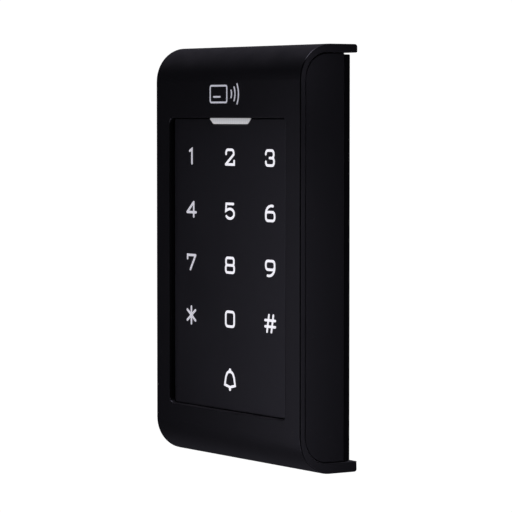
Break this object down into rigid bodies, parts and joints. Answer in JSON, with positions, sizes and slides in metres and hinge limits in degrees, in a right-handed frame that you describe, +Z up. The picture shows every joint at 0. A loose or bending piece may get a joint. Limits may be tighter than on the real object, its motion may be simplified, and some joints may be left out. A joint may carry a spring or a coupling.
{
  "type": "keypad access reader",
  "caption": "Wall-mounted slab reader with a recessed backlit touch keypad, a status light bar and a card-reading coil, hung on a hidden steel wall bracket.",
  "frame": {"origin": "centre of the wall bracket's back face, where the four wall screw holes are centred", "axes": "+X to the right seen from the front, +Y into the wall, +Z up"},
  "size_m": [0.076, 0.0195, 0.12],
  "materials": {
    "cover_plastic": "fine satin moulded texture",
    "body_plastic": "fine matte moulded texture",
    "panel_acrylic": "smooth, back printed",
    "legend_ink": "screen printed",
    "symbol_ink": "pad printed",
    "light_diffuser": "milky, translucent",
    "seal_rubber": "matte",
    "circuit_board": "solder mask",
    "copper_foil": "satin",
    "enamelled_wire": "gloss enamel",
    "gilt_contact": "bright",
    "insert_brass": "knurled, satin",
    "screw_steel": "zinc plated",
    "bracket_steel": "galvanised sheet",
    "spring_steel": "drawn wire",
    "tinned_lead": "tinned",
    "chip_epoxy": "moulded, matte",
    "lamp_resin": "clear phosphor resin",
    "relay_case": "smooth",
    "connector_nylon": "natural nylon",
    "can_aluminium": "bright",
    "ferrite_black": "sintered",
    "acetal_white": "smooth"
  },
  "bodies": {
    "wall_plate": {"wall_bracket": "bracket_steel"},
    "reader": {"front_cover": "cover_plastic", "touch_panel": "panel_acrylic", "printed_legends": "legend_ink", "card_symbol": "symbol_ink", "status_light_bar": "light_diffuser", "body_shell": "body_plastic", "back_plate": "body_plastic", "back_gasket": "seal_rubber", "back_plate_screws": "screw_steel", "cover_screws": "screw_steel", "board_screws": "screw_steel", "touch_board": "circuit_board", "touch_pads": "copper_foil", "key_lights": "lamp_resin", "touch_chip": "chip_epoxy", "board_link_header": "chip_epoxy", "board_link_pins": "gilt_contact", "main_board": "circuit_board", "status_lights": "lamp_resin", "antenna_coil": "enamelled_wire", "processor_chip": "chip_epoxy", "processor_leads": "tinned_lead", "radio_chip": "chip_epoxy", "clock_crystal": "can_aluminium", "sounder": "chip_epoxy", "door_relay": "relay_case", "voltage_regulator": "chip_epoxy", "power_inductor": "ferrite_black", "smoothing_capacitors": "can_aluminium", "wire_header": "connector_nylon", "wire_header_pins": "gilt_contact", "inlet_seal": "seal_rubber", "tamper_switch": "chip_epoxy", "tamper_spring": "spring_steel", "lock_insert": "insert_brass"},
    "plunger": {"tamper_plunger": "acetal_white"},
    "lock_screw": {"locking_screw": "screw_steel"}
  },
  "joints": [
    {"name": "reader_swing", "type": "hinge", "parent": "wall_plate", "child": "reader", "pos_m": [0, 0, 0.06], "axis": [-1, 0, 0], "range_deg": [0, 10]},
    {"name": "lock_screw_out", "type": "slide", "parent": "reader", "child": "lock_screw", "axis": [0, 0, -1], "range_m": [0, 0.008]},
    {"name": "tamper_press", "type": "slide", "parent": "reader", "child": "plunger", "axis": [0, -1, 0], "range_m": [0, 0.001], "stiffness_N_per_m": 400, "springref_m": -0.0005}
  ]
}
